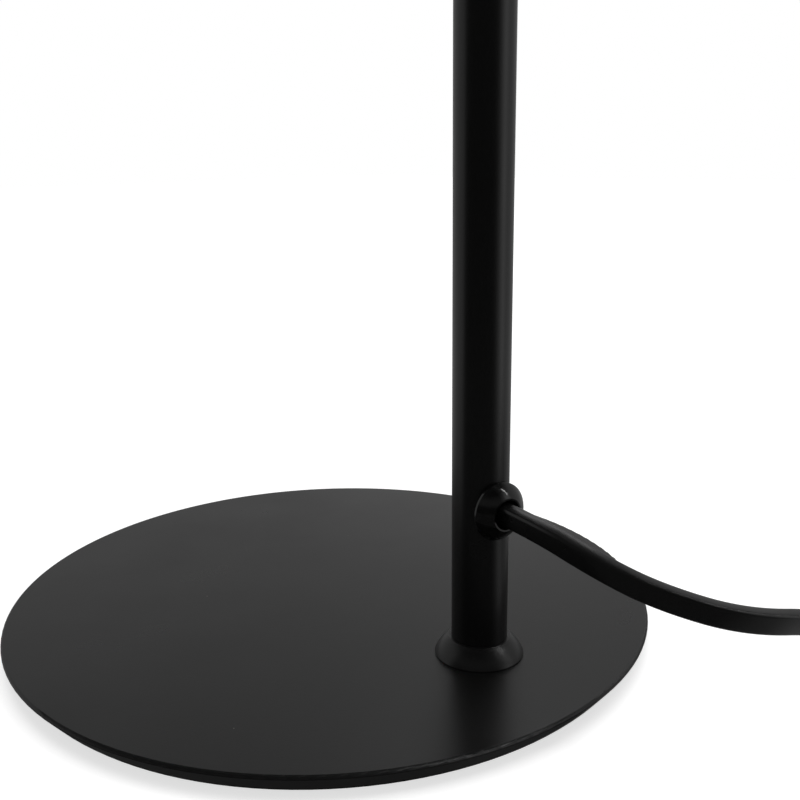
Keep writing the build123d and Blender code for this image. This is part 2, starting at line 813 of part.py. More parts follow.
# Cast housing: a shallow dish with radial cooling fins round a raised land for the button
standoff_places = [
    (standoff_radius * cos(radians(angle)), standoff_radius * sin(radians(angle)))
    for angle in [standoff_first_angle + k * 360 / standoff_count for k in range(standoff_count)]
]
button_hole = button_diameter / 2 + button_play
with BuildPart() as lamp_housing:
    with BuildSketch(head_frame.offset(head_rise)):
        Circle(head_radius)
    extrude(amount=-head_depth)
    fillet(lamp_housing.edges().group_by(Axis.Z)[-1], head_edge_round)
    with BuildSketch(Plane((boss_face_x, 0, hinge_z), x_dir=(0, 1, 0), z_dir=(-1, 0, 0))):
        RectangleRounded(neck_flange_width, neck_flange_height, neck_flange_round)
    extrude(amount=head_wall + 2 * boss_depth)
    with BuildSketch(head_frame.offset(head_rise)):
        Circle(land_diameter / 2)
    extrude(amount=land_rise)
    fillet(lamp_housing.edges().group_by(Axis.Z)[-1], land_round)
    for k in range(fin_count):
        turn = radians((k + 0.5) * 360 / fin_count)
        radial = Vector(cos(turn), sin(turn), 0)
        with BuildSketch(Plane(head_frame.origin, x_dir=radial, z_dir=radial.cross(Vector(0, 0, 1)))):
            with BuildLine():
                Polyline(
                    (land_diameter / 2 - fin_root, head_rise - fin_sink),
                    (fin_outer_radius, head_rise - fin_sink),
                    (fin_outer_radius, head_rise),
                    (fin_outer_radius - fin_slope, head_rise + land_rise - fin_drop),
                    (fin_inner_radius, head_rise + land_rise - fin_drop),
                    (land_diameter / 2 - fin_root, head_rise + land_rise - fin_root_drop),
                    close=True,
                )
            make_face()
        extrude(amount=fin_thickness / 2, both=True)
    with BuildSketch(Plane.XY.offset(head_bottom)):
        with Locations((head_x, 0)):
            Circle(boss_inner_radius)
    extrude(amount=head_depth - head_top_wall, mode=Mode.SUBTRACT)
    with BuildSketch(Plane.XY.offset(head_bottom)):
        with Locations((head_x, 0)):
            Circle(head_bore_radius)
            Circle(boss_inner_radius - cut_overlap, mode=Mode.SUBTRACT)
        with Locations((boss_face_x - head_radius / 4, 0)):
            Rectangle(head_radius / 2, neck_flange_width, mode=Mode.SUBTRACT)
    extrude(amount=head_depth - head_top_wall, mode=Mode.SUBTRACT)
    with BuildSketch(Plane.XY.offset(head_bottom)):
        with Locations((head_x, 0)):
            Circle(head_bore_radius)
    extrude(amount=hinge_z - neck_flange_height / 2 - head_bottom, mode=Mode.SUBTRACT)
    with BuildSketch(head_frame.offset(head_rise - head_top_wall)):
        with Locations(*standoff_places):
            Circle(standoff_diameter / 2)
    extrude(amount=-(head_ceiling - board_top))
    with BuildSketch(head_frame.offset(head_rise - head_top_wall)):
        Circle(land_bore / 2)
    extrude(amount=land_ceiling - head_ceiling, mode=Mode.SUBTRACT)
    with BuildSketch(head_frame):
        Circle(button_hole)
    extrude(amount=head_depth, mode=Mode.SUBTRACT)
    with BuildSketch(Plane.XY.offset(board_top)):
        with Locations((head_x, 0)):
            with Locations(*standoff_places):
                Circle(board_screw_diameter / 2 + fit)
    extrude(amount=board_screw_length - board_thickness + blind_room, mode=Mode.SUBTRACT)
    with BuildSketch(Plane((boss_face_x, 0, lead_height), x_dir=(0, 1, 0), z_dir=(-1, 0, 0))):
        Circle(lead_channel / 2)
    extrude(amount=head_wall + 2 * boss_depth, mode=Mode.SUBTRACT)
    with BuildSketch(Plane((boss_face_x, 0, hinge_z), x_dir=(0, 1, 0), z_dir=(-1, 0, 0))):
        with Locations(*neck_screw_places):
            Circle(neck_screw_diameter / 2 + fit)
    extrude(amount=neck_screw_length - neck_flange_thickness + blind_room, mode=Mode.SUBTRACT)
save(lamp_housing, "lamp_housing")

# LED board, screwed up against the standoffs
board_frame = head_frame.offset(board_bottom - hinge_z)
with BuildPart() as led_board:
    with BuildSketch(board_frame):
        Circle(board_diameter / 2)
        with Locations(*standoff_places):
            Circle(board_screw_diameter / 2 + 2 * fit, mode=Mode.SUBTRACT)
    extrude(amount=board_thickness)
save(led_board, "led_board")

with BuildPart() as board_screws:
    with BuildSketch(board_frame.offset(-face_play)):
        with Locations(*standoff_places):
            Circle(board_screw_head / 2)
    extrude(amount=-board_screw_head_height)
    chamfer(board_screws.edges().group_by(Axis.Z)[0], edge_break)
    with BuildSketch(board_frame.offset(-face_play)):
        with Locations(*standoff_places):
            Circle(board_screw_diameter / 2)
    extrude(amount=board_screw_length)
save(board_screws, "board_screws")

# Light-emitting chips in three rings
with BuildPart() as led_chips:
    with BuildSketch(board_frame):
        for ring in range(chip_ring_count):
            with PolarLocations(chip_ring_first + ring * chip_ring_step, (ring + 1) * chips_per_ring):
                Rectangle(chip_size, chip_size)
    extrude(amount=-chip_height)
save(led_chips, "led_chips")

# Opal diffuser in its bezel ring
bezel_top = head_bottom - face_play
bezel_frame = head_frame.offset(bezel_top - hinge_z)
upstand_radius = head_bore_radius - 2 * fit
with BuildPart() as bezel_ring:
    with BuildSketch(across(bezel_frame)):
        with BuildLine():
            Polyline(
                (bezel_opening / 2, 0),
                (bezel_opening / 2 + edge_break, -bezel_thickness),
                (head_radius - edge_break, -bezel_thickness),
                (head_radius, -bezel_thickness + edge_break),
                (head_radius, 0),
                (upstand_radius, 0),
                (upstand_radius, bezel_upstand),
                (upstand_radius - bezel_upstand_wall, bezel_upstand),
                (upstand_radius - bezel_upstand_wall, 0),
                close=True,
            )
        make_face()
    revolve(axis=axis_of(bezel_frame))
save(bezel_ring, "bezel_ring")

with BuildPart() as diffuser:
    with BuildSketch(bezel_frame.offset(face_play)):
        Circle(diffuser_diameter / 2)
    extrude(amount=diffuser_thickness)
save(diffuser, "diffuser")

# Driver on the back of the LED board: a tray, a transformer, a capacitor and a terminal block
driver_bottom = board_top
transformer_length = driver_length / 2 - driver_part_margin
transformer_width = driver_width / 2 - 2 * driver_part_margin
driver_frame = Plane((head_x + driver_inner_edge + driver_length / 2, 0, driver_bottom))
with BuildPart() as driver_module:
    with BuildSketch(driver_frame):
        Rectangle(driver_length, driver_width)
    extrude(amount=driver_tray)
    with BuildSketch(driver_frame.offset(driver_tray)):
        with Locations(((driver_length - terminal_length) / 2, 0)):
            Rectangle(terminal_length, terminal_width)
    extrude(amount=driver_block)
    with BuildSketch(driver_frame.offset(driver_tray)):
        with Locations((-driver_length / 4, driver_width / 4)):
            Rectangle(transformer_length, transformer_width)
    extrude(amount=driver_block)
    with BuildSketch(driver_frame.offset(driver_tray)):
        with Locations((-driver_length / 4, -driver_width / 4)):
            Circle(capacitor_diameter / 2)
    extrude(amount=driver_block)
save(driver_module, "driver_module")

# Push switch soldered to the board, and its button in the land
button_flange_top = land_ceiling - button_flange_play
button_flange_bottom = button_flange_top - button_flange_thickness
switch_top = button_flange_bottom - button_travel - switch_gap
stem_bottom = button_flange_bottom - stem_length
with BuildPart() as switch_body:
    with BuildSketch(head_frame.offset(board_top - hinge_z)):
        Rectangle(switch_width, switch_width)
    extrude(amount=switch_top - board_top)
    with BuildSketch(head_frame.offset(switch_top - hinge_z)):
        Circle(stem_diameter / 2 + stem_play)
    extrude(amount=-(switch_top - stem_bottom + button_travel + switch_gap), mode=Mode.SUBTRACT)
save(switch_body, "switch_body")

button_top = land_top + button_rise
with BuildPart() as switch_button:
    with BuildSketch(head_frame.offset(button_flange_bottom - hinge_z)):
        Circle(button_flange_diameter / 2)
    extrude(amount=button_flange_thickness)
    with BuildSketch(head_frame.offset(button_flange_top - hinge_z)):
        Circle(button_diameter / 2)
    extrude(amount=button_top - button_flange_top)
    fillet(switch_button.edges().group_by(Axis.Z)[-1], button_round)
    with BuildSketch(head_frame.offset(button_flange_bottom - hinge_z)):
        Circle(stem_diameter / 2)
    extrude(amount=-stem_length)
save(switch_button, "switch_button")

# Lead from the neck to the driver's terminals
driver_face_x = head_x + driver_inner_edge + driver_length
lead_end_x = boss_face_x + neck_flange_thickness + neck_channel - lead_end_play
with BuildPart() as head_lead:
    with BuildSketch(Plane((driver_face_x, 0, lead_height), x_dir=(0, 1, 0), z_dir=(1, 0, 0))):
        Circle(lead_radius)
    extrude(amount=lead_end_x - driver_face_x)
save(head_lead, "head_lead")


def bend_radii(points):
    """The arc at each corner of a route: as large as its two runs allow."""
    radii = []
    for before, corner, after in zip(points, points[1:], points[2:]):
        run_in = Vector(*corner) - Vector(*before)
        run_out = Vector(*after) - Vector(*corner)
        half_turn = radians(run_in.get_angle(run_out) / 2)
        radii.append(0.45 * min(run_in.length, run_out.length) / tan(half_turn))
    return radii


def cord_along(points):
    """A free stretch of cord: a tube of many sides on straight runs joined by arcs."""
    with BuildPart() as tube:
        with BuildLine() as route:
            FilletPolyline(*points, radius=bend_radii(points))
        length = route.wire().length
        with BuildSketch(Plane(points[0], z_dir=Vector(*points[1]) - Vector(*points[0]))):
            RegularPolygon(cord_radius, cord_side_count)
        sweep()
    return tube, length


def report_cord(label, tube, length, radii):
    half_side_angle = pi / cord_side_count
    section = cord_side_count * cord_radius**2 * sin(half_side_angle) * cos(half_side_angle)
    ratio = tube.part.volume / (section * length)
    print(f"{label}: length {length:.1f}, volume over section times length {ratio:.4f}")
    print(f"{label}: bend radii", [round(radius, 1) for radius in radii])


# Free cord from the bushing to the coil. It leaves straight out of the bushing, swings round and
# sinks to the table beside the lamp
floor_height = cord_radius + floor_play
coil_pitch = cord_diameter + coil_turn_gap
upper_height = floor_height + coil_pitch
cord_start = exit_frame.origin + exit_direction * bushing_inside
cord_turn = exit_frame.origin + exit_direction * cord_straight
coil_start = (156.0, 119.0)
cord_points = [
    tuple(cord_start),
    tuple(cord_turn),
    (104.5, -5.5, 47.8),
    (118.5, 0.5, 41.7),
    (134.5, 15.5, 34.2),
    (146.0, 39.0, 29.6),
    (152.0, 58.0, 18.0),
    (155.0, 75.0, 9.2),
    (156.0, 91.0, 4.4),
    (156.0, 106.0, floor_height),
    (*coil_start, floor_height),
]
mains_cord, mains_cord_length = cord_along(cord_points)
report_cord("mains_cord", mains_cord, mains_cord_length, bend_radii(cord_points))
save(mains_cord, "mains_cord")


def coil_stations():
    """Where the coil's path crosses its middle line, in turn at its left and right, with the heights.

    The lower layer spirals in by half a pitch a half turn, the last half turn climbs to the upper
    layer, and the upper layer spirals out over the lower one.
    """
    left = coil_start[0]
    right = left + 2 * coil_radius
    stations = []
    for turn in range(coil_turn_count):
        stations.append((left + turn * coil_pitch, floor_height))
        stations.append((right - turn * coil_pitch, floor_height))
    stations.append((left + coil_turn_count * coil_pitch, floor_height))
    for turn in range(coil_turn_count, 0, -1):
        stations.append((right - turn * coil_pitch, upper_height))
        stations.append((left + (turn - 1) * coil_pitch, upper_height))
    stations.append((right, upper_height))
    return stations


# Coil of the stored length: one unbroken tube in two layers, swept along quarter-turn arcs
coil_middle = coil_start[1] + cord_diameter
stations = coil_stations()
with BuildPart() as cord_coil:
    with BuildLine() as coil_route:
        Line((*coil_start, floor_height), (coil_start[0], coil_middle, floor_height))
        heading = Vector(0, 1, 0)
        for (start_x, start_z), (end_x, end_z) in zip(stations, stations[1:]):
            start = Vector(start_x, coil_middle, start_z)
            end = Vector(end_x, coil_middle, end_z)
            reach = (end - start).length / 2
            middle = (start + end) / 2 + heading * reach
            TangentArc(start, middle, tangent=heading)
            TangentArc(middle, end, tangent=end - start)
            heading = -heading
        coil_end = Vector(stations[-1][0], coil_start[1], stations[-1][1])
        Line((stations[-1][0], coil_middle, stations[-1][1]), coil_end)
    coil_path = coil_route.wire()
    with BuildSketch(Plane((*coil_start, floor_height), z_dir=(0, 1, 0))):
        RegularPolygon(cord_radius, cord_side_count)
    sweep(path=coil_path)
save(cord_coil, "cord_coil")

# Least gap of the coil to itself, on points along it, leaving out each point's own half turn
sample_step = 2.0
sample_count = int(coil_path.length / sample_step)
samples = [coil_path.position_at(k / sample_count) for k in range(sample_count + 1)]
own_stretch = int(3 * cord_diameter / sample_step)
least_gap = min(
    (samples[j] - samples[i]).length - cord_diameter
    for i in range(0, sample_count)
    for j in range(i + own_stretch, sample_count + 1)
)
inner_radius = coil_radius - coil_turn_count * coil_pitch
report_cord("cord_coil", cord_coil, coil_path.length, [coil_radius, inner_radius])
print(f"cord_coil: least gap to itself {least_gap:.2f}")

# Last stretch of cord, from the coil down to the plug beside it
plug_axis_height = plug_thickness / 2 + floor_play
plug_entry = (240.5, 62.0, plug_axis_height)
lead_points = [
    tuple(coil_end),
    (248.0, 106.0, upper_height),
    (246.5, 91.0, 8.9),
    (243.6, 75.5, plug_axis_height),
    plug_entry,
]
plug_cord, plug_cord_length = cord_along(lead_points)
report_cord("plug_cord", plug_cord, plug_cord_length, bend_radii(lead_points))
save(plug_cord, "plug_cord")
total_length = mains_cord_length + coil_path.length + plug_cord_length
print(f"cord: {total_length:.0f} from the bushing to the plug")

# Flat two-pin plug, moulded on the cord with its tapered tail
plug_direction = (Vector(*plug_entry) - Vector(*lead_points[-2])).normalized()
plug_frame = Plane(plug_entry, x_dir=plug_direction.cross(Vector(0, 0, 1)), z_dir=plug_direction)
front_start = plug_tail_length + plug_taper_length
front_end = front_start + plug_front_length
pin_places = [(pin_spacing / 2, 0), (-pin_spacing / 2, 0)]
with BuildPart() as plug_body:
    with BuildSketch(plug_frame):
        Circle(plug_tail_diameter / 2)
    with BuildSketch(plug_frame.offset(plug_tail_length)):
        Circle(plug_neck_thickness / 2)
    loft()
    with BuildSketch(plug_frame.offset(plug_tail_length)):
        RectangleRounded(plug_neck_width, plug_neck_thickness, plug_neck_round)
    with BuildSketch(plug_frame.offset(front_start)):
        RectangleRounded(plug_width, plug_thickness, plug_front_round)
    loft()
    with BuildSketch(plug_frame.offset(front_start)):
        RectangleRounded(plug_width, plug_thickness, plug_front_round)
    extrude(amount=plug_front_length)
    with BuildSketch(plug_frame.offset(front_end)):
        with Locations(*pin_places):
            Circle(sleeve_diameter / 2 + fit)
    extrude(amount=-pin_seat, mode=Mode.SUBTRACT)
save(plug_body, "plug_body")

# Contact pins: a slim shank inside the sleeve, and the full diameter only at the bare tip
with BuildPart() as plug_pins:
    with BuildSketch(plug_frame.offset(front_end - pin_seat)):
        with Locations(*pin_places):
            Circle(pin_shank_diameter / 2)
    extrude(amount=pin_seat + sleeve_length)
    with BuildSketch(plug_frame.offset(front_end + sleeve_length)):
        with Locations(*pin_places):
            Circle(pin_diameter / 2)
    extrude(amount=pin_length - sleeve_length)
    fillet(plug_pins.edges().group_by(axis_of(plug_frame))[-1], pin_tip_round)
save(plug_pins, "plug_pins")

# Insulating sleeves over the shanks of the pins
with BuildPart() as pin_sleeves:
    with BuildSketch(plug_frame.offset(front_end - pin_seat)):
        with Locations(*pin_places):
            Circle(sleeve_diameter / 2)
        with Locations(*pin_places):
            Circle(pin_shank_diameter / 2 + fit, mode=Mode.SUBTRACT)
    extrude(amount=pin_seat + sleeve_length)
save(pin_sleeves, "pin_sleeves")

for place in pin_places:
    pin_root = plug_frame.offset(front_end).from_local_coords((*place, 0))
    print("pin", [round(value, 3) for value in pin_root], [round(value, 5) for value in plug_direction])
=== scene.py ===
"""A round-based LED lamp: its finishes, its cord, and the detail that its solids leave out.

Metres, +Z up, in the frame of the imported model. Sizes are written as real millimetres times mm.
"""

from math import cos, pi, radians, sin

import bpy
from mathutils import Matrix, Vector


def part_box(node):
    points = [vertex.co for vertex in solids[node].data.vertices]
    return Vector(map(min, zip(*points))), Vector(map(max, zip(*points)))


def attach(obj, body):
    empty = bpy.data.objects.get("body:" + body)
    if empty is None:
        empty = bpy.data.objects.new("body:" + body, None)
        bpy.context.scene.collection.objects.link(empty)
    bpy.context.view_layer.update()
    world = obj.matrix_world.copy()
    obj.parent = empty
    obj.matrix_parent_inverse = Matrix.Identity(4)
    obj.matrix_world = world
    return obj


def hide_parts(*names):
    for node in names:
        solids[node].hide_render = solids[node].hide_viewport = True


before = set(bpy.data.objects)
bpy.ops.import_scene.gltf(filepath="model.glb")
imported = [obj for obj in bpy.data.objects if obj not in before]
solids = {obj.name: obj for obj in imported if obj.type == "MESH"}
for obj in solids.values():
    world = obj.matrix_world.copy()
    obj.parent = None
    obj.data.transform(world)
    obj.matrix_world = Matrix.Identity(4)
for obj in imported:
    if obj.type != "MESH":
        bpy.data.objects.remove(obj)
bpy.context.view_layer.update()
mm = 0.001

# Anti-slip pad
# A die-cut disc of black foam rubber, glued under the plate. It is matt, with an open, pebbled skin
# that grips the table.
mixed_colour = 2  # where a Mix node has its colour, among its outputs


def linear(hex_colour):
    """An sRGB hex colour as linear RGBA."""
    channels = [int(hex_colour[k : k + 2], 16) / 255 for k in (1, 3, 5)]
    return [c / 12.92 if c <= 0.04045 else ((c + 0.055) / 1.055) ** 2.4 for c in channels] + [1.0]


def add_node(tree, kind, inputs=None, links=None, **properties):
    """A shader node with its properties, and its inputs with their values and links."""
    node = tree.nodes.new(kind)
    for name, value in properties.items():
        setattr(node, name, value)
    for name, value in (inputs or {}).items():
        node.inputs[name].default_value = value
    for name, output in (links or {}).items():
        tree.links.new(output, node.inputs[name])
    return node


def new_material(name):
    """An empty material, and its node tree."""
    material = bpy.data.materials.new(name)
    material.use_nodes = True
    material.node_tree.nodes.clear()
    return material, material.node_tree


def dress(material, *names):
    """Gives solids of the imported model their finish."""
    for name in names:
        solids[name].material_slots[0].material = material


def surface(tree, settings, links):
    """The shader of a material, joined to its output."""
    shader = add_node(tree, "ShaderNodeBsdfPrincipled", settings, links)
    add_node(tree, "ShaderNodeOutputMaterial", links={"Surface": shader.outputs["BSDF"]})


def drifting(tree, place, size, low, high):
    """A value that drifts between two levels in clouds of one size."""
    faintest, strongest = 0.3, 0.7  # nearly all of a noise lies between these
    settings = {"Scale": 1 / size, "Detail": 3.0}
    cloud = add_node(tree, "ShaderNodeTexNoise", settings, {"Vector": place}).outputs["Fac"]
    spread = add_node(
        tree,
        "ShaderNodeMapRange",
        {"From Min": faintest, "From Max": strongest, "To Min": low, "To Max": high},
        {"Value": cloud},
    )
    return spread.outputs["Result"]


def mottled(tree, place, size, dark, light):
    """A colour that drifts between two shades in clouds of one size."""
    blend = add_node(
        tree,
        "ShaderNodeMix",
        {"A": linear(dark), "B": linear(light)},
        {"Factor": drifting(tree, place, size, 0.0, 1.0)},
        data_type="RGBA",
    )
    return blend.outputs[mixed_colour]


def bumped(tree, place, size, depth, detail=3.0):
    """A surface normal with a grain of one size and depth."""
    settings = {"Scale": 1 / size, "Detail": detail}
    grain = add_node(tree, "ShaderNodeTexNoise", settings, {"Vector": place}).outputs["Fac"]
    bump = add_node(
        tree, "ShaderNodeBump", {"Strength": 1.0, "Distance": depth}, {"Height": grain}
    )
    return bump.outputs["Normal"]


def grained(name, shades, gloss, grain, cloud, **settings):
    """A material of two near shades with clouds in its gloss and a fine grain.

    Gloss is the lowest and highest roughness. Grain is a size and a depth, and cloud is a size, all
    in millimetres.
    """
    grain_size, grain_depth = grain
    material, tree = new_material(name)
    place = add_node(tree, "ShaderNodeTexCoord").outputs["Object"]
    links = {
        "Base Color": mottled(tree, place, cloud * mm, *shades),
        "Roughness": drifting(tree, place, cloud * mm / 2, *gloss),
        "Normal": bumped(tree, place, grain_size * mm, grain_depth * mm),
    }
    surface(tree, {name.replace("_", " "): value for name, value in settings.items()}, links)
    return material


def foam_rubber(name):
    """Closed-cell rubber: matt black, with cells about 1.2 mm across."""
    return grained(name, ("#131313", "#1d1d1c"), (0.82, 0.95), (1.2, 0.15), 9.0, IOR=1.5)


dress(foam_rubber("pad_foam_rubber"), "anti_slip_pad")

# Base plate, post tube and foot collar
# A steel disc whose edge leans in under it, a drawn steel tube and a turned collar that hides the
# joint between them. All are sprayed with black polyester powder and baked to a satin skin.


def powder_coat(name, shade, roughness, peel_size=0.8, dusty=False):
    """Baked polyester powder: satin, with the orange peel of its flow, its size in millimetres.

    A dusty coat has a few pale specks in it, as a flat plate has.
    """
    peel_depth = 0.010 * mm
    cloud_size = 30 * mm
    gloss_drift = 0.03
    speck_spacing = 13 * mm
    speck_radius = 0.2 * mm
    speck_shade = "#77756f"
    material, tree = new_material(name)
    place = add_node(tree, "ShaderNodeTexCoord").outputs["Object"]
    low, high = roughness - gloss_drift, roughness + gloss_drift
    links = {
        "Roughness": drifting(tree, place, cloud_size, low, high),
        "Normal": bumped(tree, place, peel_size * mm, peel_depth),
    }
    if dusty:
        specks = add_node(
            tree, "ShaderNodeTexVoronoi", {"Scale": 1 / speck_spacing}, {"Vector": place}
        )
        on_speck = add_node(
            tree,
            "ShaderNodeMath",
            {1: speck_radius / speck_spacing},
            {0: specks.outputs["Distance"]},
            operation="LESS_THAN",
        )
        speckled = add_node(
            tree,
            "ShaderNodeMix",
            {"A": linear(shade), "B": linear(speck_shade)},
            {"Factor": on_speck.outputs["Value"]},
            data_type="RGBA",
        )
        links["Base Color"] = speckled.outputs[mixed_colour]
    surface(tree, {"Base Color": linear(shade), "IOR": 1.5}, links)
    return material


dress(powder_coat("black_powder_coat", "#0b0b0b", 0.30), "post_tube", "foot_collar")
dress(powder_coat("plate_powder_coat", "#0c0c0c", 0.30, dusty=True), "base_plate")

# Foot screw and plug, board screws, and the washers and nut of the swivel
# Turned and stamped steel with a thin, bright zinc plating, passivated to a faint blue, which is
# never quite even.


def zinc_plating(name):
    """Bright zinc on steel: a satin metal with cloudy crystals about 4 mm across."""
    return grained(name, ("#a9adb3", "#c9cbce"), (0.26, 0.42), (0.35, 0.006), 4.0, Metallic=1.0)


plated = zinc_plating("zinc_plated_steel")
dress(plated, "foot_screw", "foot_plug", "board_screws")
dress(plated, "swivel_washer", "spring_washer", "swivel_nut")

# Cord bushing
# A conical moulding of polished black nylon. Its barrel is pressed into the tube's hole, and its
# flank covers the hole's edge and holds the cord.


def polished_nylon(name):
    """Nylon from a polished mould: a hard gloss, with a faint flow in it about 2.5 mm across."""
    return grained(name, ("#060606", "#0a0a0a"), (0.10, 0.14), (2.5, 0.01), 5.0, IOR=1.53)


dress(polished_nylon("bushing_nylon"), "cord_bushing")

# Mains cord
# A flat two-core cord in soft black PVC, 6.2 mm wide. It leaves the bushing on edge and turns flat
# as it sinks. Its stored length is wound in two layers beside the lamp, out of the camera's view.
cord_width = 6.2 * mm
cord_thickness = 4.0 * mm
cord_corner = 0.9 * mm
cord_crease = radians(50)  # the smallest angle that shows as an edge
cord_twist = [  # distance along the cord, and degrees from lying flat
    (0.0, 76.0),
    (55.0 * mm, 83.0),
    (80.0 * mm, 82.0),
    (168.0 * mm, 0.0),
]
post_centre = Vector((63.0, 0.0, 0.0)) * mm
exit_centre = post_centre + Vector((0.0, 0.0, 52.6)) * mm
exit_turn = radians(-14.0)
exit_direction = Vector((cos(exit_turn), sin(exit_turn), 0.0))
bushing_inside = 4.35 * mm
cord_straight = 23.0 * mm
floor_height = 2.05 * mm
upper_height = 6.7 * mm
coil_left = 156.0 * mm
coil_middle = 125.4 * mm
coil_radius = 46.0 * mm
coil_pitch = 6.9 * mm
coil_turns = 3
points_per_half_turn = 8
fall_points = [  # millimetres, like the plug's
    (104.5, -5.5, 47.4),
    (118.5, 0.5, 41.3),
    (134.5, 15.5, 34.1),
    (146.0, 39.0, 29.6),
    (152.0, 58.0, 18.0),
    (155.0, 75.0, 9.2),
    (156.0, 91.0, 3.6),
    (156.0, 106.0, 2.05),
    (156.0, 119.0, 2.05),
]
plug_points = [
    (248.0, 119.0, 6.7),
    (248.0, 106.0, 6.7),
    (246.5, 91.0, 6.4),
    (243.6, 75.5, 6.7),
    (240.5, 62.0, 6.95),
]


def coil_points():
    """Control points of the coil: three turns spiral in on the floor and three spiral out above."""
    inward = [coil_left + turn * coil_pitch for turn in range(coil_turns + 1)]
    outward = [coil_left + 2 * coil_radius - turn * coil_pitch for turn in range(coil_turns)]
    crossings = []
    for left, right in zip(inward, outward):
        crossings += [(left, floor_height), (right, floor_height)]
    crossings.append((inward[-1], floor_height))
    upper_rights = [outward[-1] - coil_pitch, *reversed(outward[1:])]
    for left, right in zip(reversed(inward[:-1]), upper_rights):
        crossings += [(right, upper_height), (left, upper_height)]
    crossings.append((outward[0], upper_height))
    step = pi / points_per_half_turn
    spread = 1 / (0.75 + 0.25 * cos(step))  # the spline runs inside its control points by this much
    points = []
    side = 1
    for (start, start_height), (end, end_height) in zip(crossings, crossings[1:]):
        centre = (start + end) / 2
        radius = (end - start) / 2 * spread
        for k in range(points_per_half_turn):
            turn = (k + 0.5) * step
            share = (k + 0.5) / points_per_half_turn
            across = centre - radius * cos(turn)
            along = coil_middle + side * abs(radius) * sin(turn)
            height = start_height + (end_height - start_height) * share
            points.append(Vector((across, along, height)))
        side = -side
    return points


def smooth_line(name, points, steps=12):
    """Points read from a smooth spline that has these control points."""
    curve = bpy.data.curves.new(name, "CURVE")
    curve.dimensions = "3D"
    curve.resolution_u = steps
    spline = curve.splines.new("NURBS")
    spline.points.add(len(points) - 1)
    for point, place in zip(spline.points, points):
        point.co = (*place, 1.0)
    spline.order_u = 3
    spline.use_endpoint_u = True
    holder = bpy.data.objects.new(name, curve)
    bpy.context.scene.collection.objects.link(holder)
    bpy.context.view_layer.update()
    line = bpy.data.meshes.new_from_object(holder)
    read = [vertex.co.copy() for vertex in line.vertices]
    bpy.data.objects.remove(holder)
    bpy.data.curves.remove(curve)
    bpy.data.meshes.remove(line)
    return read


def flat_section(width, thickness, corner, steps=4):
    """The outline of a flat cord, corner by corner, as (across, up) pairs."""
    outline = []
    for quarter in range(4):
        sign_across = 1 if quarter in (0, 3) else -1
        sign_up = 1 if quarter in (0, 1) else -1
        for k in range(steps + 1):
            turn = (quarter + k / steps) * pi / 2
            across = sign_across * (width / 2 - corner) + corner * cos(turn)
            up = sign_up * (thickness / 2 - corner) + corner * sin(turn)
            outline.append((across, up))
    return outline


def blend_between(value, stops):
    """A smooth step from stop to stop, each a (place, result) pair."""
    for (start, low), (end, high) in zip(stops, stops[1:]):
        if value < end:
            share = max(0.0, (value - start) / (end - start))
            return low + (high - low) * share * share * (3 - 2 * share)
    return stops[-1][1]


def select_only(piece):
    """Makes one object the active one, with nothing else selected."""
    bpy.ops.object.select_all(action="DESELECT")
    piece.select_set(True)
    bpy.context.view_layer.objects.active = piece


def finish_skin(piece, crease):
    """Turns a closed piece's faces outwards and shades it smooth up to an angle."""
    select_only(piece)
    bpy.ops.object.mode_set(mode="EDIT")
    bpy.ops.mesh.select_all(action="SELECT")
    bpy.ops.mesh.normals_make_consistent(inside=False)
    bpy.ops.object.mode_set(mode="OBJECT")
    bpy.ops.object.shade_smooth_by_angle(angle=crease)


def sweep_section(name, line, outline, twist):
    """A closed tube along a line, with its own UV map: once round, and metres along."""
    vertices, distances, travelled = [], [], 0.0
    for k, place in enumerate(line):
        ahead = line[min(k + 1, len(line) - 1)] - line[max(k - 1, 0)]
        if k:
            travelled += (place - line[k - 1]).length
        side = ahead.cross(Vector((0, 0, 1))).normalized()
        top = side.cross(ahead).normalized()
        lean = radians(blend_between(travelled, twist))
        wide = cos(lean) * side + sin(lean) * top
        thin = cos(lean) * top - sin(lean) * side
        vertices += [place + wide * across + thin * up for across, up in outline]
        distances.append(travelled)
    count = len(outline)
    faces, corners = [], []
    for ring in range(len(line) - 1):
        lower, upper = ring * count, (ring + 1) * count
        near, far = distances[ring], distances[ring + 1]
        for k in range(count):
            following = (k + 1) % count
            left, right = k / count, (k + 1) / count
            faces.append((lower + k, lower + following, upper + following, upper + k))
            corners += [(left, near), (right, near), (right, far), (left, far)]
    faces += [tuple(reversed(range(count))), tuple(range(len(vertices) - count, len(vertices)))]
    corners += [(k / count, distance) for distance in (0.0, travelled) for k in range(count)]
    mesh = bpy.data.meshes.new(name)
    mesh.from_pydata(vertices, [], faces)
    flat_corners = [value for corner in corners for value in corner]
    mesh.uv_layers.new(name="along").data.foreach_set("uv", flat_corners)
    mesh.validate()
    piece = bpy.data.objects.new(name, mesh)
    bpy.context.scene.collection.objects.link(piece)
    return piece


def extruded_pvc(name, shade, roughness):
    """Soft PVC drawn through a die: satin, with fine lines along it and slow waves in its gloss."""
    lines_around = 90.0
    line_depth = 0.012 * mm
    wave_size = 14 * mm
    gloss_drift = 0.05
    material, tree = new_material(name)
    place = add_node(tree, "ShaderNodeTexCoord").outputs["Object"]
    along = add_node(tree, "ShaderNodeUVMap", uv_map="along").outputs["UV"]
    stretched = add_node(
        tree, "ShaderNodeMapping", {"Scale": (lines_around, 1 / wave_size, 1.0)}, {"Vector": along}
    )
    low, high = roughness - gloss_drift, roughness + gloss_drift
    links = {
        "Roughness": drifting(tree, place, wave_size, low, high),
        "Normal": bumped(tree, stretched.outputs["Vector"], 1.0, line_depth, detail=2.0),
    }
    surface(tree, {"Base Color": linear(shade), "IOR": 1.53}, links)
    return material


